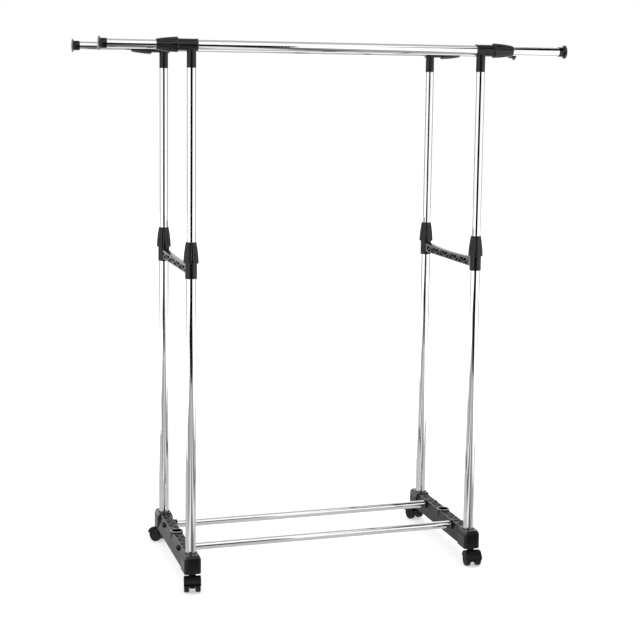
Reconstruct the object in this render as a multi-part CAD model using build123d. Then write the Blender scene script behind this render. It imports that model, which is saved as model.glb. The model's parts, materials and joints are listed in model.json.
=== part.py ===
from build123d import *
import math
import os

# Rolling clothes rack: two castered base beams carry four telescopic uprights, and these carry two
# telescopic hanging rails. Millimetres. +X runs along the rails, +Y from front to back, +Z up.
# The origin is on the floor, midway between the four uprights.

# ---- layout ----
upright_spacing_x = 715.0  # left to right uprights, axis to axis
upright_spacing_y = 335.0  # front to back uprights, axis to axis
lower_tube_length = 728.5
upper_tube_length = 785.0
rail_rest_height = 1283.0  # axis of the hanging rails above the floor, as the rack stands at rest
rod_length = 420.0
cap_reach = {  # outer face of each end cap beyond its upright's axis, at rest
    "left_front": 214.0,
    "right_front": 226.0,
    "left_back": 230.0,
    "right_back": 245.0,
}

# ---- tubes ----
wide_tube_od = 25.0  # lower uprights and hanging rails
wide_tube_wall = 0.8
thin_tube_od = 22.0  # upper uprights and extension rods
thin_tube_wall = 0.8
base_rail_od = 19.0
base_rail_wall = 0.8

# ---- clearances, each on the radius unless it says otherwise ----
fixed_fit = 0.1  # a tube held in a moulding
sliding_fit = 0.05  # grip ring on a sliding tube
guide_fit = 0.07  # guide plug inside the wide tube
free_gap = 0.4  # between parts that turn or slide past each other
pin_fit = 0.02  # a pin pressed in its own body
shaft_fit = 0.05  # a shaft that turns in its bore
end_gap = 0.3  # along an axis, between a fixed face and a turning one

# ---- twist-lock collar and grip ring ----
collar_length = 50.0
collar_nose_wall = 1.2
collar_skirt_wall = 3.0
collar_belly = 0.9  # how far the cone's side bows outwards
collar_flutes = 10
flute_radius = 6.5
flute_depth = 1.1
thread_length = 12.0
thread_ridges = 3
thread_ridge_height = 0.35
grip_length = 30.0
grip_slit_width = 1.4
grip_nose_wall = 1.0

# ---- side handle ----
sleeve_wall = 1.65
sleeve_length = 35.5
band_thickness = 15.0
band_height = 24.0
band_sag = 5.0
band_drop = 3.0  # from the top of the sleeve down to the band
band_pocket_depth = 4.0
band_rim = 3.0
band_rib = 2.2
band_cells = 9

# ---- tee joint ----
barrel_wall = 1.5
barrel_inboard = 14.0
barrel_outboard = 32.0
barrel_rim_width = 2.5
barrel_rim_height = 0.7
leg_drop = 52.0  # rail axis down to the leg's shoulder
leg_spigot_length = 22.0
leg_wall = 3.0

# ---- end cap ----
cap_length = 20.0
cap_wall = 0.8
cap_floor = 5.0
cap_flange_od = 33.0
cap_flange_edge = 1.6
cap_dome = 2.2
cap_flare_length = 5.5

# ---- guide plug ----
guide_collar_length = 12.0
guide_spigot_length = 15.0
guide_wall = 1.6

# ---- base beam ----
beam_top_width = 26.0
beam_waist_width = 29.0
beam_skirt_width = 40.0
beam_lift = 3.5  # skirt edge above the underside of the end blocks
beam_wall = 2.6
beam_waist_drop = 15.0
block_height = 44.5
block_side_wall = 7.9  # beside the upright's socket, at the foot of the block
block_top_wall = 2.9  # beside the upright's socket, at the top of the block
block_inner_wall = 8.9
block_end_wall = 6.9  # outboard of the caster's socket
block_shoulder = 13.0
block_end_radius = 8.0
tube_seat = 10.5  # block underside up to the bottom of the upright's socket
collar_ring_wall = 3.0
collar_ring_height = 1.6
centre_socket_gap = 0.3  # round a middle post the size of the wide tube
centre_socket_depth = 36.0
centre_ring_wall = 3.2
centre_ring_height = 2.5
lattice_depth = 1.6
lattice_rim = 3.2
lattice_rib = 1.8
lattice_pitch = 15.0

# ---- lower cross rails ----
base_rail_spacing = 182.0
base_rail_drop = 12.5  # block top down to the axis of the cross rails
rail_boss_wall = 2.4
rail_boss_proud = 4.5  # boss beyond the beam's waist, on the inner side
rail_insert = 8.0  # rail end beyond the beam's middle
screw_boss_radius = 7.5
screw_boss_reach = 19.0
screw_diameter = 4.0
screw_length = 22.0
screw_head_diameter = 8.0
screw_head_height = 3.0
screw_seat = 13.0  # under the screw's head, from the beam's middle
screw_counterbore = 9.2
rail_plug_length = 20.0

# ---- casters ----
wheel_diameter = 35.0
wheel_width = 13.0
wheel_edge_radius = 2.0
wheel_pair_gap = 14.0
wheel_dish_depth = 1.4
wheel_dish_radius = 13.2
wheel_hub_radius = 5.0
hood_gap = 1.5
hood_thickness = 2.5
hood_side = 0.5
caster_head = 2.5
caster_trail = 13.0
web_gap = 0.35
stem_diameter = 8.0
stem_in_block = 30.0
stem_in_hood = 15.0
stem_flange_diameter = 15.0
stem_flange_height = 1.0
stem_wall = 2.8  # between the upright's socket and the caster's socket
swivel_boss_radius = 8.5
axle_diameter = 5.0
axle_in_wheel = 9.0
caster_turn = {  # which way each caster trails at rest, in degrees about +Z from +Y
    "left_front": 169.0,
    "right_front": 175.0,
    "left_back": 40.0,
    "right_back": 15.0,
}

# ---- worked out from the above ----
wide_tube_id = wide_tube_od - 2 * wide_tube_wall
thin_tube_id = thin_tube_od - 2 * thin_tube_wall
base_rail_id = base_rail_od - 2 * base_rail_wall
sleeve_od = wide_tube_od + 2 * sleeve_wall + 2 * fixed_fit
barrel_od = wide_tube_od + 2 * barrel_wall
caster_height = wheel_diameter + hood_gap + hood_thickness + caster_head
block_top_z = caster_height + block_height
beam_top_z = block_top_z - 2.0
seat_z = caster_height + tube_seat
lower_tube_top = seat_z + lower_tube_length
leg_shoulder_z = rail_rest_height - leg_drop
upper_tube_bottom = leg_shoulder_z - upper_tube_length
base_rail_z = block_top_z - base_rail_drop
upright_socket_r = wide_tube_od / 2 + fixed_fit
stem_socket_r = stem_diameter / 2 + fixed_fit
block_width = 2 * (upright_socket_r + block_side_wall)
block_top_width = 2 * (upright_socket_r + block_top_wall)
centre_socket_diameter = wide_tube_od + 2 * centre_socket_gap
stem_y = upright_spacing_y / 2 + upright_socket_r + stem_wall + stem_socket_r
beam_end_y = stem_y + stem_socket_r + block_end_wall
block_inner_y = upright_spacing_y / 2 - upright_socket_r - block_inner_wall

SIDES = {"left": -1, "right": 1}
ROWS = {"front": -1, "back": 1}
CORNERS = {f"{side}_{row}": (sx, sy) for side, sx in SIDES.items() for row, sy in ROWS.items()}

UPWARD = (Align.CENTER, Align.CENTER, Align.MIN)


# ---------------------------------------------------------------- helpers
def rod(diameter, length, start=0.0):
    """A solid cylinder along +Z from the height start."""
    return Pos(0, 0, start) * Cylinder(diameter / 2, length, align=UPWARD)


def tube(outer, inner, length, start=0.0):
    """A tube along +Z."""
    return rod(outer, length, start) - rod(inner, length + 2, start - 1)


def spun(points):
    """A solid of revolution about Z from an outline of (radius, height) points."""
    outline = make_face(Plane.XZ * Polyline(*points, close=True))
    return revolve(outline, Axis.Z)


def block(low, high):
    """A box between two corners."""
    size = [b - a for a, b in zip(low, high)]
    middle = [(a + b) / 2 for a, b in zip(low, high)]
    return Pos(*middle) * Box(*size)


def along_x(shape, direction):
    """Turns a shape modelled along +Z so that it points along +X or -X."""
    return Rot(0, 90 * direction, 0) * shape


def prism_y(points, low_y, high_y):
    """A closed (x, z) outline carried along Y."""
    outline = make_face(Plane.XZ * Polyline(*points, close=True))
    return Pos(0, low_y, 0) * extrude(outline, amount=high_y - low_y, dir=(0, 1, 0))


def prism_z(face, low_z, high_z):
    """A flat face in the XY plane carried up from low_z to high_z."""
    return Pos(0, 0, low_z) * extrude(face, amount=high_z - low_z, dir=(0, 0, 1))


# ---------------------------------------------------------------- twist lock, modelled along +Z
# Height 0 is the rim of the moulding that carries the lock, and the thin tube leaves at the top.
def thread_spigot():
    """The threaded end of a sleeve or barrel, standing above height 0."""
    body = tube(sleeve_od, thin_tube_od + 2 * free_gap, thread_length)
    pitch = thread_length / (thread_ridges + 1)
    for i in range(thread_ridges):
        middle = pitch * (i + 1)
        half = pitch * 0.3
        inner = sleeve_od / 2 - 0.5
        crest = sleeve_od / 2 + thread_ridge_height
        body += spun([(inner, middle - half), (crest, middle), (inner, middle + half)])
    return body


def grip_outline(extra):
    """Radii of the grip ring's cone at its foot and nose, grown by extra."""
    foot = sleeve_od / 2 - 0.4 + extra
    nose = thin_tube_od / 2 + sliding_fit + grip_nose_wall + extra
    return foot, nose


def grip_ring():
    """The split cone that the collar squeezes on to the sliding tube."""
    foot, nose = grip_outline(0)
    low = thread_length
    high = thread_length + grip_length
    bore = thin_tube_od / 2 + sliding_fit
    side = Polyline((bore, low), (foot, low), (foot, low + 2), (nose, high), (bore, high), close=True)
    slit_angle = math.degrees(grip_slit_width / bore)
    return revolve(make_face(Plane.XZ * side), Axis.Z, revolution_arc=360 - slit_angle)


def twist_collar():
    """The fluted cone nut."""
    low = end_gap
    high = end_gap + collar_length
    thread_r = sleeve_od / 2 + thread_ridge_height + free_gap
    skirt_r = thread_r + collar_skirt_wall
    nose_bore = thin_tube_od / 2 + free_gap
    nose_r = nose_bore + collar_nose_wall
    middle = ((skirt_r + nose_r) / 2 + collar_belly, (low + high) / 2)
    side = ThreePointArc((skirt_r, low + 1.2), middle, (nose_r, high - 1.0))
    rest = Polyline(
        (nose_r, high - 1.0),
        (nose_r - 0.5, high),
        (0, high),
        (0, low),
        (skirt_r - 0.6, low),
        (skirt_r, low + 1.2),
    )
    body = revolve(make_face(Plane.XZ * (side + rest)), Axis.Z)

    foot, nose = grip_outline(free_gap)
    grip_low = thread_length
    grip_high = thread_length + grip_length
    body -= spun(
        [
            (0, low - 1),
            (thread_r, low - 1),
            (thread_r, grip_low + 0.5),
            (foot, grip_low + 2.5),
            (nose, grip_high + 0.8),
            (nose_bore, grip_high + 0.8),
            (nose_bore, high + 1),
            (0, high + 1),
        ]
    )
    lean = math.degrees(math.atan((skirt_r - nose_r) / collar_length))
    reach = (skirt_r + nose_r) / 2 + flute_radius - flute_depth + collar_belly
    cutter = Rot(0, -lean, 0) * Cylinder(flute_radius, collar_length * 1.4)
    for i in range(collar_flutes):
        body -= Rot(0, 0, 360 / collar_flutes * i) * Pos(reach, 0, (low + high) / 2) * cutter
    return body


# ---------------------------------------------------------------- uprights and side handles
def side_handle():
    """Two sleeves on the lower tubes and the bridge between them, one moulding, at X = 0."""
    top = lower_tube_top
    reach = upright_spacing_y / 2
    body = band(top - band_drop, reach - wide_tube_od / 2 - 0.6)
    for y in (-reach, reach):
        body += Pos(0, y, top - sleeve_length) * rod(sleeve_od, sleeve_length)
        body += Pos(0, y, top) * thread_spigot()
    for y in (-reach, reach):
        body -= Pos(0, y, top - sleeve_length - 1) * rod(wide_tube_od + 2 * fixed_fit, sleeve_length + 1)
        body -= Pos(0, y, top - 1) * rod(thin_tube_od + 2 * free_gap, thread_length + 2)
    return body


def band(top, reach):
    """The bridge: a sagging top edge, a level bottom edge and ribbed pockets in both faces."""
    bottom = top - band_height
    upper = ThreePointArc((-reach, top), (0, top - band_sag), (reach, top))
    lower = Polyline((reach, top), (reach, bottom), (-reach, bottom), (-reach, top))
    body = extrude(make_face(Plane.YZ * (upper + lower)), amount=band_thickness / 2, both=True)
    body = fillet(body.edges().filter_by(GeomType.CIRCLE), 2.0)

    clear = reach - sleeve_od / 2
    pocket_top = top - band_sag - band_rim
    cell = 2 * clear / band_cells
    web = band_thickness / 2 - band_pocket_depth
    low_z = bottom + band_rim
    for i in range(band_cells):
        start = -clear + i * cell + band_rib / 2
        end = start + cell - band_rib
        lean_down = i % 2 == 0
        for face in (-1, 1):
            body -= pocket_pair(start, end, low_z, pocket_top, face * web, face * band_thickness, lean_down)
    return body


def pocket_pair(start, end, low, high, inner_x, outer_x, lean_down):
    """Two triangular pockets either side of a diagonal rib."""
    half = band_rib * 0.6
    if lean_down:
        first = [(start, low), (end - half * 2, low), (start, high - half)]
        second = [(end, high), (start + half * 2, high), (end, low + half)]
    else:
        first = [(end, low), (start + half * 2, low), (end, high - half)]
        second = [(start, high), (end - half * 2, high), (start, low + half)]
    cuts = []
    for points in (first, second):
        face = make_face(Plane.YZ * Polyline(*points, close=True))
        depth = abs(outer_x - inner_x)
        cuts.append(Pos(min(inner_x, outer_x), 0, 0) * extrude(face, amount=depth, dir=(1, 0, 0)))
    return cuts[0] + cuts[1]


def lower_tube():
    """The wide tube of an upright."""
    return tube(wide_tube_od, wide_tube_id, lower_tube_length, seat_z)


def upper_tube():
    """The thin tube of an upright."""
    return tube(thin_tube_od, thin_tube_id, upper_tube_length, upper_tube_bottom)


def guide_plug():
    """The plug that keeps the foot of the upper tube central in the lower tube."""
    foot = upper_tube_bottom - guide_collar_length
    collar = rod(wide_tube_id - 2 * guide_fit, guide_collar_length, foot)
    collar = chamfer(collar.edges().filter_by(GeomType.CIRCLE), 0.8)
    spigot_od = thin_tube_id - 2 * fixed_fit
    body = collar + rod(spigot_od, guide_spigot_length, upper_tube_bottom)
    length = guide_collar_length + guide_spigot_length
    return body - rod(spigot_od - 2 * guide_wall, length + 2, foot - 1)


# ---------------------------------------------------------------- hanging rails, modelled along +Z
def tee_joint(direction):
    """The tee at X = 0 with its leg on the upright; direction says which way is outboard."""
    length = barrel_inboard + barrel_outboard
    barrel = rod(barrel_od, length, -barrel_inboard)
    barrel += rod(barrel_od + 2 * barrel_rim_height, barrel_rim_width, -barrel_inboard)
    barrel += Pos(0, 0, barrel_outboard) * thread_spigot()
    barrel = along_x(barrel, direction)
    leg = Pos(0, 0, -leg_drop) * rod(thin_tube_od, leg_drop)
    spigot_od = thin_tube_id - 2 * fixed_fit
    leg += Pos(0, 0, -leg_drop - leg_spigot_length) * rod(spigot_od, leg_spigot_length + 1)
    body = barrel + leg
    hollow_height = leg_spigot_length + leg_drop - barrel_od / 2 - leg_wall
    body -= Pos(0, 0, -leg_drop - leg_spigot_length - 1) * rod(spigot_od - 2 * leg_wall, hollow_height + 1)
    bore = rod(wide_tube_od + 2 * fixed_fit, length + 1, -barrel_inboard - 1)
    bore += rod(thin_tube_od + 2 * free_gap, length + 2 * thread_length, -barrel_inboard)
    return body - along_x(bore, direction)


def hanging_rail():
    """The wide tube between two tees, along +X."""
    half = upright_spacing_x / 2 + barrel_outboard
    return Rot(0, 90, 0) * tube(wide_tube_od, wide_tube_id, 2 * half, -half)


def extension_rod():
    """The thin tube that pulls out of a rail, measured from its end cap's outer face at height 0."""
    return tube(thin_tube_od, thin_tube_id, rod_length, -cap_floor - rod_length)


def end_cap():
    """The cap on a rod, its outer face at height 0: a sleeve that flares into a domed flange."""
    body_r = thin_tube_od / 2 + sliding_fit + cap_wall
    flange_r = cap_flange_od / 2
    rim = -cap_dome - cap_flange_edge
    neck = rim - cap_flare_length
    flare = (body_r + (flange_r - body_r) * 0.25, rim - cap_flare_length * 0.35)
    body = spun([(0, rim), (0, -cap_length), (body_r, -cap_length), (body_r, neck), flare, (flange_r, rim)])
    dome_radius = (flange_r**2 + cap_dome**2) / (2 * cap_dome)
    dome = Pos(0, 0, -dome_radius) * Sphere(dome_radius)
    body += rod(cap_flange_od, cap_dome + cap_flange_edge, rim) & dome
    bore = rod(thin_tube_od + 2 * sliding_fit, cap_length, -cap_floor - cap_length)
    return body - bore


# ---------------------------------------------------------------- base
def base_rail():
    """A lower cross rail, along +X."""
    half = upright_spacing_x / 2 + rail_insert
    return Rot(0, 90, 0) * tube(base_rail_od, base_rail_id, 2 * half, -half)


def rail_plug():
    """The threaded plug in a cross rail's end, its outer face at height 0."""
    plug = rod(base_rail_id - 2 * fixed_fit, rail_plug_length, -rail_plug_length)
    return plug - rod(screw_diameter + 2 * pin_fit, rail_plug_length + 2, -rail_plug_length - 1)


def rail_screw():
    """A pan-head screw, with the underside of its head at height 0 and its shank below."""
    head = rod(screw_head_diameter, screw_head_height)
    head = fillet(head.edges().group_by(Axis.Z)[-1], 1.2)
    cross = block((-2.2, -0.5, screw_head_height - 1.4), (2.2, 0.5, screw_head_height + 1))
    head -= cross
    head -= Rot(0, 0, 90) * cross
    shank = rod(screw_diameter, screw_length, -screw_length)
    return head + chamfer(shank.edges().group_by(Axis.Z)[0], 0.8)


def beam_shell():
    """The outside of a base beam at X = 0 before its sockets are cut."""
    low = caster_height + beam_lift
    waist = beam_top_z - beam_waist_drop
    half_top = beam_top_width / 2
    half_waist = beam_waist_width / 2
    half_skirt = beam_skirt_width / 2
    outline = [(half_top - 1.5, beam_top_z), (half_top, beam_top_z - 1.5)]
    outline += [(half_waist, waist), (half_skirt, low)]
    outline += [(-x, z) for x, z in reversed(outline)]
    inner_end = block_inner_y
    body = prism_y(outline, -inner_end - 4, inner_end + 4)

    wide = block_width / 2
    narrow = block_top_width / 2
    shoulder = block_top_z - block_shoulder
    front_view = [(narrow, block_top_z), (wide - 1.2, shoulder + 4), (wide, shoulder), (wide, caster_height)]
    front_view += [(-x, z) for x, z in reversed(front_view)]
    length = beam_end_y - inner_end
    plan = Rectangle(block_width, length)
    plan = fillet(plan.vertices().group_by(Axis.Y)[-1], block_end_radius)
    plan = chamfer(plan.vertices().group_by(Axis.Y)[0], 5.0)
    middle = (beam_end_y + inner_end) / 2
    for sy in ROWS.values():
        end_block = prism_y(front_view, inner_end, beam_end_y) & prism_z(
            Pos(0, middle) * plan, caster_height, block_top_z
        )
        top_edges = end_block.edges().group_by(Axis.Z)[-1].sort_by(Axis.Y)[-1]
        end_block = chamfer(top_edges, 4.0, 6.0)
        body += Rot(0, 0, 0 if sy > 0 else 180) * end_block
    return body


def beam_hollows():
    """The spaces inside the skirt, between the sockets."""
    low = caster_height + beam_lift - 1
    waist = beam_top_z - beam_waist_drop
    ceiling = beam_top_z - beam_wall - lattice_depth
    half_top = beam_top_width / 2 - beam_wall
    half_waist = beam_waist_width / 2 - beam_wall
    half_skirt = beam_skirt_width / 2 - beam_wall
    outline = [(half_top, ceiling), (half_waist, waist), (half_skirt, low)]
    outline += [(-x, z) for x, z in reversed(outline)]
    socket_half = centre_socket_diameter / 2 + centre_ring_wall
    boss_half = base_rail_od / 2 + rail_boss_wall + 0.5
    rail_y = base_rail_spacing / 2
    inner_end = block_inner_y - 1
    middle = (socket_half + rail_y - boss_half) / 2
    spans = [
        (socket_half, middle - 1.1),
        (middle + 1.1, rail_y - boss_half),
        (rail_y + boss_half, inner_end),
    ]
    hollows = []
    for low_y, high_y in spans:
        hollows.append(prism_y(outline, low_y, high_y))
        hollows.append(prism_y(outline, -high_y, -low_y))
    return hollows


def lattice_cuts():
    """Shallow triangular recesses in the beam's top, which leave a zigzag of ribs."""
    half = beam_top_width / 2 - lattice_rim
    socket_half = centre_socket_diameter / 2 + centre_ring_wall + 2
    inner_end = block_inner_y - 3
    count = int((inner_end - socket_half) // lattice_pitch)
    pitch = (inner_end - socket_half) / count
    rib = lattice_rib
    cuts = []
    for i in range(count):
        start = socket_half + i * pitch + rib / 2
        end = start + pitch - rib
        flip = 1 if i % 2 == 0 else -1
        first = [(-half * flip, start), ((half - rib) * flip, start), (-half * flip, end - rib)]
        second = [(half * flip, end), ((-half + rib) * flip, end), (half * flip, start + rib)]
        for points in (first, second):
            face = make_face(Polyline(*points, close=True))
            cut = prism_z(face, beam_top_z - lattice_depth, beam_top_z + 5)
            cuts.append(cut)
            cuts.append(Rot(0, 0, 180) * cut)
    return cuts


def base_beam(direction):
    """A base beam at X = 0; direction says which way is outboard, -1 left and 1 right."""
    body = beam_shell()
    for hollow in beam_hollows():
        body -= hollow
    for cut in lattice_cuts():
        body -= cut

    # the ring-shaped middle socket
    ring_od = centre_socket_diameter + 2 * centre_ring_wall
    ring_top = beam_top_z + centre_ring_height
    ring = rod(ring_od, ring_top - caster_height - beam_lift, caster_height + beam_lift)
    body += fillet(ring.edges().group_by(Axis.Z)[-1], 0.8)
    body -= rod(centre_socket_diameter, centre_socket_depth + 1, ring_top - centre_socket_depth)

    # upright sockets with a low rim, and caster sockets under them
    for sy in ROWS.values():
        y = sy * upright_spacing_y / 2
        rim_od = 2 * (upright_socket_r + collar_ring_wall)
        rim = rod(rim_od, block_height + collar_ring_height - 5, caster_height + 5)
        body += Pos(0, y, 0) * chamfer(rim.edges().group_by(Axis.Z)[-1], 1.0)
        body -= Pos(0, y, 0) * rod(2 * upright_socket_r, block_height + 5, seat_z)
        body -= Pos(0, sy * stem_y, 0) * rod(2 * stem_socket_r, stem_in_block + 2, caster_height - 1)

    # bosses for the cross rails on the inner side, and for their screws on the outer side
    for sy in ROWS.values():
        place = Pos(0, sy * base_rail_spacing / 2, base_rail_z)
        inner_length = beam_waist_width / 2 + rail_boss_proud
        boss = rod(base_rail_od + 2 * rail_boss_wall, inner_length + rail_insert, -rail_insert)
        body += place * along_x(boss, -direction)
        outer = rod(2 * screw_boss_radius, screw_boss_reach)
        outer = fillet(outer.edges().group_by(Axis.Z)[-1], 1.0)
        body += place * along_x(outer, direction)
    for sy in ROWS.values():
        place = Pos(0, sy * base_rail_spacing / 2, base_rail_z)
        bore = rod(base_rail_od + 2 * fixed_fit, rail_insert + 60, -rail_insert)
        body -= place * along_x(bore, -direction)
        body -= place * along_x(rod(screw_diameter + 0.6, screw_boss_reach + 1), direction)
        counterbore = rod(screw_counterbore, screw_boss_reach, screw_seat)
        body -= place * along_x(counterbore, direction)
    return body


# ---------------------------------------------------------------- casters
# Modelled with the stem on the Z axis and the axle behind it, along +Y.
axle_z = wheel_diameter / 2
hood_radius = wheel_diameter / 2 + hood_gap + hood_thickness
swivel_top = caster_height - stem_flange_height - end_gap
wheels_width = 2 * wheel_width + wheel_pair_gap


def caster_stem():
    """The stem that plugs into the end block and that the hood swivels on."""
    shank = rod(stem_diameter, stem_in_block + stem_in_hood, caster_height - stem_in_hood)
    shank = chamfer(shank.edges().filter_by(GeomType.CIRCLE), 0.8)
    return shank + rod(stem_flange_diameter, stem_flange_height, caster_height - stem_flange_height)


def caster_hood():
    """The centre web that holds the axle, and the cover over both wheels."""
    web_half = wheel_pair_gap / 2 - web_gap
    front = -swivel_boss_radius
    back = caster_trail + 9
    low = axle_z - 8
    top = axle_z + hood_radius - 1
    points = [(front, top), (front, axle_z + 2), (caster_trail - 7, low)]
    points += [(caster_trail + 7, low), (back, axle_z), (back, top)]
    outline = make_face(Plane.YZ * Polyline(*points, close=True))
    outline = fillet(outline.vertices(), 2.5)
    web = extrude(outline, amount=web_half, both=True)

    full = Rot(0, 90, 0) * Cylinder(hood_radius, wheels_width + 2 * hood_side)
    full = fillet(full.edges().filter_by(GeomType.CIRCLE), 2.0)
    hollow = Rot(0, 90, 0) * Cylinder(wheel_diameter / 2 + hood_gap, wheels_width + 4)
    cover = Pos(0, caster_trail, axle_z) * (full - hollow)
    reach = 2 * hood_radius
    cover &= block((-reach, -reach, axle_z + 3), (reach, caster_trail + reach, axle_z + reach))

    boss = rod(2 * swivel_boss_radius, swivel_top - axle_z - 6, axle_z + 6)
    wheel_space = block(
        (-wheels_width, -reach, 0), (-web_half, caster_trail + reach, caster_height)
    ) & (Pos(0, caster_trail, axle_z) * Rot(0, 90, 0) * Cylinder(wheel_diameter / 2 + hood_gap, 3 * reach))
    boss -= wheel_space
    boss -= Rot(0, 0, 180) * Pos(0, -2 * caster_trail, 0) * wheel_space
    body = web + cover + boss
    body -= rod(stem_diameter + 2 * shaft_fit, caster_height, caster_height - stem_in_hood - 0.5)
    body -= Pos(0, caster_trail, axle_z) * Rot(0, 90, 0) * Cylinder(
        axle_diameter / 2 + pin_fit, wheels_width
    )
    return body


def caster_axle():
    """The axle through the web and into both hubs."""
    length = wheel_pair_gap + 2 * axle_in_wheel
    pin = Rot(0, 90, 0) * Cylinder(axle_diameter / 2, length)
    pin = chamfer(pin.edges().filter_by(GeomType.CIRCLE), 0.5)
    return Pos(0, caster_trail, axle_z) * pin


def caster_wheel(direction):
    """One wheel; direction says which side of the web it runs on."""
    radius = wheel_diameter / 2
    dish = wheel_dish_radius
    hub = wheel_hub_radius
    deep = wheel_dish_depth
    edge = wheel_edge_radius
    points = [(0, 0), (hub + 2, 0), (hub + 2, deep), (dish, deep), (dish + 0.6, 0.3), (radius - edge, 0.3)]
    points += [(radius, edge + 0.3), (radius, wheel_width - edge - 0.3), (radius - edge, wheel_width - 0.3)]
    points += [(dish + 0.6, wheel_width - 0.3), (dish, wheel_width - deep), (hub + 0.5, wheel_width - deep)]
    points += [(hub, wheel_width), (0, wheel_width)]
    body = spun(points)
    body -= rod(axle_diameter + 2 * shaft_fit, axle_in_wheel + 1.4, -1)
    place = Pos(direction * wheel_pair_gap / 2, caster_trail, axle_z)
    return place * along_x(body, direction)


# ---------------------------------------------------------------- placing and writing
def lock_place(corner, row_z):
    """Where a rail's twist lock goes: from the outboard rim of its tee, pointing outboard."""
    sx, sy = CORNERS[corner]
    x = sx * (upright_spacing_x / 2 + barrel_outboard)
    return Pos(x, sy * upright_spacing_y / 2, row_z) * Rot(0, 90 * sx, 0)


def build():
    """Every node by name."""
    parts = {}
    collar = twist_collar()
    ring = grip_ring()
    half_x = upright_spacing_x / 2
    half_y = upright_spacing_y / 2
    rail_z = rail_rest_height

    for side, sx in SIDES.items():
        parts[f"{side}_base_beam"] = Pos(sx * half_x, 0, 0) * base_beam(sx)
        parts[f"{side}_side_handle"] = Pos(sx * half_x, 0, 0) * side_handle()

    groups = {"height_grip_rings": [], "caster_stems": [], "base_rail_plugs": [], "base_rail_screws": []}
    for corner, (sx, sy) in CORNERS.items():
        row = corner.split("_")[1]
        upright = Pos(sx * half_x, sy * half_y, 0)
        parts[f"{corner}_lower_tube"] = upright * lower_tube()
        parts[f"{corner}_upper_tube"] = upright * upper_tube()
        parts[f"{corner}_height_collar"] = upright * Pos(0, 0, lower_tube_top) * collar
        groups["height_grip_rings"].append(upright * Pos(0, 0, lower_tube_top) * ring)
        groups.setdefault(f"{row}_guide_plugs", []).append(upright * guide_plug())
        parts[f"{corner}_tee_joint"] = upright * Pos(0, 0, rail_z) * tee_joint(sx)

        lock = lock_place(corner, rail_z)
        parts[f"{corner}_rail_collar"] = lock * collar
        groups.setdefault(f"{row}_rail_grip_rings", []).append(lock * ring)
        cap = Pos(sx * (half_x + cap_reach[corner]), sy * half_y, rail_z) * Rot(0, 90 * sx, 0)
        parts[f"{corner}_extension_rod"] = cap * extension_rod()
        parts[f"{corner}_end_cap"] = cap * end_cap()

        caster = Pos(sx * half_x, sy * stem_y, 0) * Rot(0, 0, caster_turn[corner])
        parts[f"{corner}_caster_hood"] = caster * caster_hood()
        parts[f"{corner}_caster_axle"] = caster * caster_axle()
        parts[f"{corner}_caster_wheel_a"] = caster * caster_wheel(-1)
        parts[f"{corner}_caster_wheel_b"] = caster * caster_wheel(1)
        groups["caster_stems"].append(Pos(sx * half_x, sy * stem_y, 0) * caster_stem())

        rail_y = sy * base_rail_spacing / 2
        plug = Pos(sx * (half_x + rail_insert), rail_y, base_rail_z) * Rot(0, 90 * sx, 0)
        groups["base_rail_plugs"].append(plug * rail_plug())
        screw = Pos(sx * (half_x + screw_seat), rail_y, base_rail_z) * Rot(0, 90 * sx, 0)
        groups["base_rail_screws"].append(screw * rail_screw())

    for row, sy in ROWS.items():
        parts[f"{row}_hanging_rail"] = Pos(0, sy * half_y, rail_z) * hanging_rail()
        parts[f"{row}_base_rail"] = Pos(0, sy * base_rail_spacing / 2, base_rail_z) * base_rail()

    for name, solids in groups.items():
        parts[name] = Compound(children=solids)
    return parts


if __name__ == "__main__":
    os.makedirs("parts", exist_ok=True)
    for name, shape in build().items():
        shape.label = name
        export_step(shape, f"parts/{name}.step")
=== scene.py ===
"""The looks of the rolling clothes rack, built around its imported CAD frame. Metres, +Z up, the origin on
the floor midway between the four uprights."""

import json
import math

import bmesh
import bpy
from mathutils import Matrix, Vector


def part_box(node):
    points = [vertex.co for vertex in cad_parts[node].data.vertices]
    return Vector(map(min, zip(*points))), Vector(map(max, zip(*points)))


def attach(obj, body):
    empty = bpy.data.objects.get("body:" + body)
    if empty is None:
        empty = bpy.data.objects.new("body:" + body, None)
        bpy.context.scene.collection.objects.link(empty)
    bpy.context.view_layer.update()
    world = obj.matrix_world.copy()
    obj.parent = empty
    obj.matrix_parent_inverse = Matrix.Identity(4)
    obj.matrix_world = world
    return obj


# ---- camera ----
CAMERA_PLACE = (-1.032, -3.358, 1.2115)
CAMERA_YAW = 17.2  # degrees from +Y towards +X
CAMERA_PITCH = 7.19  # degrees below the horizon
CAMERA_ROLL = 0.76
CAMERA_LENS = 79.34  # mm on a 36 mm sensor
CAMERA_SHIFT = -0.1

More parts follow.
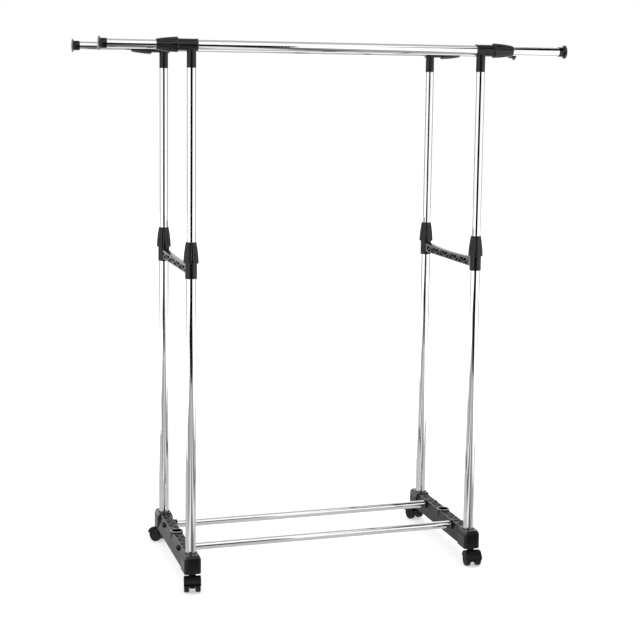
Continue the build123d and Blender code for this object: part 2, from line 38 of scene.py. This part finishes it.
# ---- stage: a white room with the dark, grey and pale cards that chrome needs around it ----
FLOOR_HALF = 9.0
BACKDROP_WHITE = 1.0
ROOM_WHITE = 1.12
FLOOR_GLOW = 0.42
CARDS = {
    "flag_front": dict(centre=(-0.9, -4.0, 0.98), size=(3.8, 1.96), facing="Y", grey=0.004),
    "flag_floor": dict(centre=(-0.9, -3.2, 0.004), size=(3.8, 1.6), facing="Z", grey=0.01),
    "flag_top": dict(centre=(1.95, -2.0, 3.3), size=(1.1, 3.6), facing="Z", grey=0.004),
    "floor_front": dict(centre=(-0.5, -1.35, 0.002), size=(3.0, 2.1), facing="Z", grey=0.36),
    "floor_strip_left": dict(centre=(-0.56, -1.35, 0.003), size=(0.30, 2.0), facing="Z", grey=0.85),
    "floor_strip_right": dict(centre=(0.12, -1.35, 0.003), size=(0.26, 2.0), facing="Z", grey=0.85),
    "floor_line_left": dict(centre=(-0.24, -1.35, 0.003), size=(0.22, 2.0), facing="Z", grey=0.14),
    "floor_line_right": dict(centre=(0.40, -1.35, 0.003), size=(0.20, 2.0), facing="Z", grey=0.12),
    "floor_under": dict(centre=(0.0, 0.25, 0.002), size=(3.0, 1.1), facing="Z", grey=0.55),
    "card_left": dict(centre=(-3.0, 2.3, 1.3), size=(2.6, 3.4), facing="X", grey=0.27),
    "card_right": dict(centre=(3.0, 1.7, 1.3), size=(3.0, 3.4), facing="X", grey=0.27),
    "ceiling": dict(centre=(0.0, 0.6, 4.2), size=(6.0, 4.0), facing="Z", grey=0.50),
}

SIDES = ("left", "right")
ROWS = ("front", "back")
CORNERS = [f"{side}_{row}" for side in SIDES for row in ROWS]

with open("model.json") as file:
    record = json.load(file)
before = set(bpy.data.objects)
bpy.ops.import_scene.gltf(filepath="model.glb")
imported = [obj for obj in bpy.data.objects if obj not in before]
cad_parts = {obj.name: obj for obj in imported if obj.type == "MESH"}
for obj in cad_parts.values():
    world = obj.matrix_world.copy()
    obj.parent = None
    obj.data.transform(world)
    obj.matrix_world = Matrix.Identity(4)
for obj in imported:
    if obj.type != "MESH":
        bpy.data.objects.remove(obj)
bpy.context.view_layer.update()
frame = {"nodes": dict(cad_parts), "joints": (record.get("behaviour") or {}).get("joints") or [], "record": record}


# ---------------------------------------------------------------- materials

GRAIN_DEPTH = 0.00008  # of the spark-eroded grain on moulded plastic
FLOW_DARKER = 0.8  # how far the slow cloud in moulded plastic takes its shade down and up
FLOW_LIGHTER = 1.25


class Shader:
    """A Principled material and the few node chains that the finishes share."""

    def __init__(self, name):
        self.material = bpy.data.materials.new(name)
        self.material.use_nodes = True
        self.tree = self.material.node_tree
        self.surface = self.tree.nodes["Principled BSDF"]

    def node(self, kind, **settings):
        made = self.tree.nodes.new(kind)
        for key, value in settings.items():
            setattr(made, key, value)
        return made

    def link(self, out, into):
        self.tree.links.new(out, into)

    def noise(self, scale, detail=3.0, roughness=0.5, stretch=(1.0, 1.0, 1.0)):
        """Noise in the object's own coordinates, so that it rides with the part."""
        place = self.node("ShaderNodeTexCoord")
        mapping = self.node("ShaderNodeMapping")
        mapping.inputs["Scale"].default_value = stretch
        made = self.node("ShaderNodeTexNoise")
        made.inputs["Scale"].default_value = scale
        made.inputs["Detail"].default_value = detail
        made.inputs["Roughness"].default_value = roughness
        self.link(place.outputs["Object"], mapping.inputs["Vector"])
        self.link(mapping.outputs["Vector"], made.inputs["Vector"])
        return made.outputs["Fac"]

    def spread(self, value, low, high, start=0.3, end=0.7):
        """Value from start..end mapped to low..high."""
        made = self.node("ShaderNodeMapRange")
        self.link(value, made.inputs["Value"])
        for key, number in (("From Min", start), ("From Max", end), ("To Min", low), ("To Max", high)):
            made.inputs[key].default_value = number
        return made.outputs["Result"]

    def math(self, operation, first, second):
        made = self.node("ShaderNodeMath", operation=operation)
        for socket, value in zip(made.inputs, (first, second)):
            if isinstance(value, float):
                socket.default_value = value
            else:
                self.link(value, socket)
        return made.outputs["Value"]

    def blend(self, share, first, second):
        made = self.node("ShaderNodeMix", data_type="RGBA")
        self.link(share, made.inputs["Factor"])
        for key, value in (("A", first), ("B", second)):
            socket = next(s for s in made.inputs if s.name == key and s.type == "RGBA")
            if isinstance(value, tuple):
                socket.default_value = (*value, 1.0)
            else:
                self.link(value, socket)
        return next(s for s in made.outputs if s.type == "RGBA")

    def soft_edges(self, radius):
        """The normal rounded over the edges, and how far the true normal leans from it: an edge mask."""
        rounded = self.node("ShaderNodeBevel", samples=4)
        rounded.inputs["Radius"].default_value = radius
        true = self.node("ShaderNodeNewGeometry")
        dot = self.node("ShaderNodeVectorMath", operation="DOT_PRODUCT")
        self.link(rounded.outputs["Normal"], dot.inputs[0])
        self.link(true.outputs["Normal"], dot.inputs[1])
        return rounded.outputs["Normal"], self.spread(dot.outputs["Value"], 1.0, 0.0, 0.86, 0.995)

    def bump(self, height, strength, distance, normal=None):
        made = self.node("ShaderNodeBump")
        made.inputs["Strength"].default_value = strength
        made.inputs["Distance"].default_value = distance
        self.link(height, made.inputs["Height"])
        if normal is not None:
            self.link(normal, made.inputs["Normal"])
        return made.outputs["Normal"]

    def finish(self, colour, roughness, normal, **constants):
        self.link(colour, self.surface.inputs["Base Color"])
        self.link(roughness, self.surface.inputs["Roughness"])
        self.link(normal, self.surface.inputs["Normal"])
        for key, value in constants.items():
            self.surface.inputs[key.replace("_", " ")].default_value = value
        return self.material


def chrome(name):
    """Polished chrome plate on drawn steel tube: faint haze, fine polishing marks, a slow waviness."""
    s = Shader(name)
    haze = s.noise(26.0, detail=5.0, roughness=0.6)
    marks = s.noise(2400.0, detail=2.0)
    colour = s.blend(s.spread(haze, 0.0, 1.0), (0.945, 0.945, 0.935), (0.885, 0.89, 0.885))
    roughness = s.math("ADD", s.spread(haze, 0.02, 0.06), s.spread(marks, 0.0, 0.02))
    wave = s.bump(s.noise(7.0, detail=0.0), 0.05, 0.0005)
    return s.finish(colour, roughness, s.bump(marks, 0.015, 0.00002, wave), Metallic=1.0)


def plastic(name, shade, edge_wear_and_highlight_colour, rough, grain, gloss=0.5, edge=0.0009):
    """Injection-moulded plastic: a spark-eroded grain, uneven gloss, and paler, duller edges; the paler edges are
    partly wear and partly a painted highlight.
    """
    s = Shader(name)
    rounded, edges = s.soft_edges(edge)
    grain_noise = s.noise(1900.0, detail=2.0, roughness=0.6)
    flow = s.noise(34.0, detail=4.0, roughness=0.6)
    scuffs = s.noise(310.0, detail=6.0, roughness=0.7)
    # edge mask: partly scuffed wear, partly a painted highlight along the edges
    edge_wear_and_highlight = s.math("MULTIPLY", edges, s.spread(scuffs, 0.35, 1.0, 0.35, 0.62))
    darker, lighter = (tuple(factor * c for c in shade) for factor in (FLOW_DARKER, FLOW_LIGHTER))
    base = s.blend(s.spread(flow, 0.0, 1.0), darker, lighter)
    dullness = s.math("ADD", s.spread(flow, rough[0], rough[1]), s.spread(scuffs, -0.03, 0.05))
    roughness = s.math("ADD", dullness, s.math("MULTIPLY", edge_wear_and_highlight, 0.10))
    height = s.math("ADD", grain_noise, s.math("MULTIPLY", scuffs, 0.35))
    normal = s.bump(height, grain, GRAIN_DEPTH, rounded)
    return s.finish(s.blend(edge_wear_and_highlight, base, edge_wear_and_highlight_colour), roughness, normal, Specular_IOR_Level=gloss)


def nylon(name):
    """Hard caster wheel: dull black with dust and scuffs on the tread, and paler edges that are partly scuffs and
    partly a painted highlight.
    """
    s = Shader(name)
    rounded, edges = s.soft_edges(0.0008)
    dust = s.noise(120.0, detail=6.0, roughness=0.65)
    pits = s.noise(1500.0, detail=3.0)
    # paler edges: partly scuffed wear, partly a painted highlight
    edge_wear_and_highlight = s.math("MULTIPLY", edges, s.spread(dust, 0.2, 1.0, 0.4, 0.65))
    dusty = s.blend(s.spread(dust, 0.0, 1.0, 0.45, 0.8), (0.003, 0.003, 0.0035), (0.016, 0.0155, 0.015))
    colour = s.blend(edge_wear_and_highlight, dusty, (0.05, 0.049, 0.047))
    normal = s.bump(pits, 0.25, 0.0001, rounded)
    return s.finish(colour, s.spread(dust, 0.34, 0.55), normal, Specular_IOR_Level=0.3)


def pale_plastic(name):
    """The acetal of the grip rings, guide plugs and rail plugs inside the tubes."""
    s = Shader(name)
    rounded, edges = s.soft_edges(0.0005)
    cloud = s.noise(60.0, detail=4.0)
    body = s.blend(cloud, (0.10, 0.10, 0.105), (0.14, 0.14, 0.145))
    # paler edges: a painted highlight along the rounded edges
    colour = s.blend(edges, body, (0.24, 0.24, 0.245))
    normal = s.bump(s.noise(1700.0), 0.15, GRAIN_DEPTH, rounded)
    return s.finish(colour, s.spread(cloud, 0.30, 0.42), normal)


def turned_steel(name):
    """Zinc-plated screws, stems and axles: turning marks and a faint yellow-blue cloud."""
    s = Shader(name)
    rounded, edges = s.soft_edges(0.0003)
    cloud = s.noise(150.0, detail=3.0)
    marks = s.noise(900.0, detail=2.0, stretch=(1.0, 1.0, 6.0))
    colour = s.blend(s.spread(cloud, 0.0, 1.0), (0.60, 0.60, 0.58), (0.52, 0.55, 0.60))
    # brighter edges: a painted highlight along the edges
    colour = s.blend(edges, colour, (0.78, 0.78, 0.77))
    return s.finish(colour, s.spread(marks, 0.20, 0.38), s.bump(marks, 0.10, 0.00005, rounded), Metallic=1.0)


FINISHES = {
    "chrome_tube": chrome("chrome_plate"),
    "moulded_black": plastic(
        "moulded_black", (0.0035, 0.0035, 0.004), (0.20, 0.20, 0.215), (0.13, 0.24), 0.10, gloss=0.42
    ),
    "cap_black": plastic(
        "glossy_black", (0.002, 0.002, 0.0024), (0.06, 0.06, 0.063), (0.08, 0.16), 0.05, gloss=0.4
    ),
    "caster_black": plastic(
        "caster_black", (0.0018, 0.0018, 0.002), (0.03, 0.03, 0.032), (0.18, 0.30), 0.12, gloss=0.22
    ),
    "wheel_black": nylon("wheel_nylon"),
    "grip_plastic": pale_plastic("grip_acetal"),
    "steel": turned_steel("zinc_steel"),
    # pale plastic for the socket rims: the paleness is a painted highlight
    "painted_highlight_rim": plastic("painted_highlight_rim", (0.30, 0.30, 0.31), (0.62, 0.62, 0.63), (0.22, 0.34), 0.12),
}


def dress_frame():
    """Each CAD node takes the finish of its own material slot."""
    for part in frame["record"]["subparts"]:
        mesh = frame["nodes"][part["node"]].data
        mesh.materials.clear()
        mesh.materials.append(FINISHES[part["material_slot"]])


# ---------------------------------------------------------------- added pieces

LIP_INNER = 0.0130  # the pale rim of the socket in the middle of each beam; its pale colour is a painted highlight
LIP_OUTER = 0.0158
LIP_RISE = 0.0009
LIP_REACH = 0.0170  # this near the socket's axis, nothing on the beam is higher than the socket's ring
LIP_ARC_STEPS = 10
FOOT_DEPTH = 0.0004  # how far an added piece sinks into what it stands on
HUB_RADIUS = 0.0042
HUB_RISE = 0.0013
HUB_CORE = 0.0001  # the dome is spun about a core this thin, so that its rings never meet
HUB_DOME_END = 88  # degrees; the dome's outline stops just short of its top
HUB_ARC_STEPS = 10
HUB_STEPS = 40
SPOKES = 6
SPOKE_REACH = 0.0124
SPOKE_HALF_WIDTH = 0.0006
SPOKE_RISE = 0.0007
SPOKE_TOP_SHARE = 0.6  # width of a spoke's top as a share of its foot
SPOKE_START_SHARE = 0.6  # where a spoke starts, as a share of the hub's radius
DISH_DEPTH = 0.0014
WHEEL_HALF_WIDTH = 0.0065
RING_STEPS = 96
WELD_GAP = 1e-6
SHARP_ANGLE = 35  # degrees; edges that turn more than this stay sharp


def new_piece(name, build, place, body, material):
    """A mesh piece whose bmesh is made by build(), put in place and set to ride on a CAD body."""
    shape = bmesh.new()
    build(shape)
    bmesh.ops.remove_doubles(shape, verts=shape.verts, dist=WELD_GAP)
    bmesh.ops.recalc_face_normals(shape, faces=shape.faces)
    mesh = bpy.data.meshes.new(name)
    shape.to_mesh(mesh)
    shape.free()
    mesh.transform(place)
    mesh.shade_smooth()
    mesh.set_sharp_from_angle(angle=math.radians(SHARP_ANGLE))
    mesh.materials.append(material)
    made = bpy.data.objects.new(name, mesh)
    bpy.context.scene.collection.objects.link(made)
    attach(made, body)


def turned(shape, outline, steps=RING_STEPS):
    """Spins a closed outline of (radius, height) points about Z."""
    rings = []
    for step in range(steps):
        angle = 2 * math.pi * step / steps
        rings.append([shape.verts.new((r * math.cos(angle), r * math.sin(angle), z)) for r, z in outline])
    for here, after in zip(rings, rings[1:] + rings[:1]):
        for i in range(len(outline)):
            k = (i + 1) % len(outline)
            shape.faces.new((here[i], after[i], after[k], here[k]))


def arc(centre, radii, start, end, steps):
    """Points along an elliptic arc, in degrees."""
    turns = [math.radians(start + (end - start) * i / steps) for i in range(steps + 1)]
    return [(centre[0] + radii[0] * math.cos(a), centre[1] + radii[1] * math.sin(a)) for a in turns]


def socket_lips():
    """The pale rim round the socket in the middle of each beam; its pale colour is a painted highlight."""
    middle = (LIP_INNER + LIP_OUTER) / 2
    half = (LIP_OUTER - LIP_INNER) / 2

    def lip(shape):
        crown = arc((middle, 0.0), (half, LIP_RISE), 180, 0, LIP_ARC_STEPS)
        turned(shape, crown + [(LIP_OUTER, -FOOT_DEPTH), (LIP_INNER, -FOOT_DEPTH)])

    mounts = {mount["name"]: mount for mount in frame["record"]["mounts"]}
    for side in SIDES:
        x, y, _ = mounts[f"{side}_centre_socket"]["pos_m"]
        beam = frame["nodes"][f"{side}_base_beam"]
        points = [beam.matrix_world @ vertex.co for vertex in beam.data.vertices]
        top = max(point.z for point in points if math.hypot(point.x - x, point.y - y) < LIP_REACH)
        place = Matrix.Translation((x, y, top))
        new_piece(f"{side}_socket_lip", lip, place, "base_frame", FINISHES["painted_highlight_rim"])


def wheel_hubs():
    """A domed hub with six low spokes in the dish of each wheel's outer face."""

    def hub(shape):
        dome = arc((HUB_CORE, 0.0), (HUB_RADIUS, HUB_RISE), 0, HUB_DOME_END, HUB_ARC_STEPS)
        turned(shape, dome + [(HUB_CORE, -FOOT_DEPTH), (HUB_RADIUS, -FOOT_DEPTH)], steps=HUB_STEPS)
        for i in range(SPOKES):
            turn = Matrix.Rotation(2 * math.pi * i / SPOKES, 4, "Z")
            top_half_width = SPOKE_TOP_SHARE * SPOKE_HALF_WIDTH
            section = (
                (-SPOKE_HALF_WIDTH, -FOOT_DEPTH),
                (SPOKE_HALF_WIDTH, -FOOT_DEPTH),
                (top_half_width, SPOKE_RISE),
                (-top_half_width, SPOKE_RISE),
            )
            ends = [
                [shape.verts.new(turn @ Vector((x, y, z))) for y, z in section]
                for x in (SPOKE_START_SHARE * HUB_RADIUS, SPOKE_REACH)
            ]
            shape.faces.new(ends[0][::-1])
            shape.faces.new(ends[1])
            for k in range(4):
                after = (k + 1) % 4
                shape.faces.new((ends[0][k], ends[0][after], ends[1][after], ends[1][k]))

    def centre(node):
        low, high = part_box(node)
        return (low + high) / 2

    axes = {joint["name"]: Vector(joint["axis"]) for joint in frame["joints"]}
    for corner in CORNERS:
        wheels = {letter: centre(f"{corner}_caster_wheel_{letter}") for letter in "ab"}
        middle = (wheels["a"] + wheels["b"]) / 2
        for letter, place in wheels.items():
            out = axes[f"{corner}_wheel_{letter}_roll"].normalized()
            if out.dot(place - middle) < 0:
                out = -out
            face = place + out * (WHEEL_HALF_WIDTH - DISH_DEPTH)
            turn = out.to_track_quat("Z", "Y").to_matrix().to_4x4()
            wheel = f"{corner}_wheel_{letter}"
            place_on_face = Matrix.Translation(face) @ turn
            new_piece(f"{wheel}_hub", hub, place_on_face, wheel, FINISHES["wheel_black"])


# ---------------------------------------------------------------- stage

ACROSS = {  # the two directions in a sheet, by the axis that it faces
    "X": ((0, 1, 0), (0, 0, 1)),
    "Y": ((1, 0, 0), (0, 0, 1)),
    "Z": ((1, 0, 0), (0, 1, 0)),
}
FLOOR_GREY = 0.78
SENSOR_WIDTH = 36.0  # mm
CLIP_NEAR = 0.05
CLIP_FAR = 60.0


def glow_material(name, grey):
    made = bpy.data.materials.new(name)
    made.use_nodes = True
    surface = made.node_tree.nodes["Principled BSDF"]
    surface.inputs["Base Color"].default_value = (0.0, 0.0, 0.0, 1.0)
    surface.inputs["Specular IOR Level"].default_value = 0.0
    surface.inputs["Emission Color"].default_value = (grey, grey, grey, 1.0)
    surface.inputs["Emission Strength"].default_value = 1.0
    return made


def sheet(name, centre, size, facing, material):
    """A flat rectangle whose normal is along the facing axis."""
    u, v = (Vector(axis) * length / 2 for axis, length in zip(ACROSS[facing], size))
    corners = [Vector(centre) + a * u + b * v for a, b in ((-1, -1), (1, -1), (1, 1), (-1, 1))]
    mesh = bpy.data.meshes.new(name)
    mesh.from_pydata([tuple(c) for c in corners], [], [(0, 1, 2, 3)])
    mesh.materials.append(material)
    made = bpy.data.objects.new(name, mesh)
    bpy.context.scene.collection.objects.link(made)
    return made


def make_stage():
    white = bpy.data.materials.new("studio_floor")
    white.use_nodes = True
    surface = white.node_tree.nodes["Principled BSDF"]
    surface.inputs["Base Color"].default_value = (FLOOR_GREY, FLOOR_GREY, FLOOR_GREY, 1.0)
    surface.inputs["Roughness"].default_value = 0.9
    surface.inputs["Specular IOR Level"].default_value = 0.0
    surface.inputs["Emission Color"].default_value = (1.0, 1.0, 1.0, 1.0)
    surface.inputs["Emission Strength"].default_value = FLOOR_GLOW
    sheet("studio_floor", (0.0, 0.0, 0.0), (2 * FLOOR_HALF, 2 * FLOOR_HALF), "Z", white)
    for name, card in CARDS.items():
        made = sheet(name, card["centre"], card["size"], card["facing"], glow_material(name, card["grey"]))
        made.visible_camera = False
        made.visible_diffuse = False
        made.visible_shadow = False

    world = bpy.data.worlds.new("studio")
    world.use_nodes = True
    bpy.context.scene.world = world
    nodes, links = world.node_tree.nodes, world.node_tree.links
    nodes.clear()
    out = nodes.new("ShaderNodeOutputWorld")
    mix = nodes.new("ShaderNodeMixShader")
    seen_by = nodes.new("ShaderNodeLightPath")
    links.new(seen_by.outputs["Is Camera Ray"], mix.inputs["Fac"])
    for socket, strength in ((1, ROOM_WHITE), (2, BACKDROP_WHITE)):
        light = nodes.new("ShaderNodeBackground")
        light.inputs["Color"].default_value = (1.0, 1.0, 1.0, 1.0)
        light.inputs["Strength"].default_value = strength
        links.new(light.outputs["Background"], mix.inputs[socket])
    links.new(mix.outputs["Shader"], out.inputs["Surface"])
    bpy.context.scene.view_settings.view_transform = "Standard"


def make_camera():
    yaw, pitch, roll = (math.radians(angle) for angle in (CAMERA_YAW, CAMERA_PITCH, CAMERA_ROLL))
    ahead = Vector((math.sin(yaw) * math.cos(pitch), math.cos(yaw) * math.cos(pitch), -math.sin(pitch)))
    across = Vector((math.cos(yaw), -math.sin(yaw), 0.0))
    up = across.cross(ahead)
    rolled_across = math.cos(roll) * across + math.sin(roll) * up
    rolled_up = math.cos(roll) * up - math.sin(roll) * across
    data = bpy.data.cameras.new("camera")
    data.lens = CAMERA_LENS
    data.sensor_width = SENSOR_WIDTH
    data.shift_y = CAMERA_SHIFT
    data.clip_start, data.clip_end = CLIP_NEAR, CLIP_FAR
    camera = bpy.data.objects.new("camera", data)
    turn = Matrix((rolled_across, rolled_up, -ahead)).transposed().to_4x4()
    camera.matrix_world = Matrix.Translation(CAMERA_PLACE) @ turn
    bpy.context.scene.collection.objects.link(camera)
    bpy.context.scene.camera = camera


dress_frame()
socket_lips()
wheel_hubs()
make_stage()
make_camera()
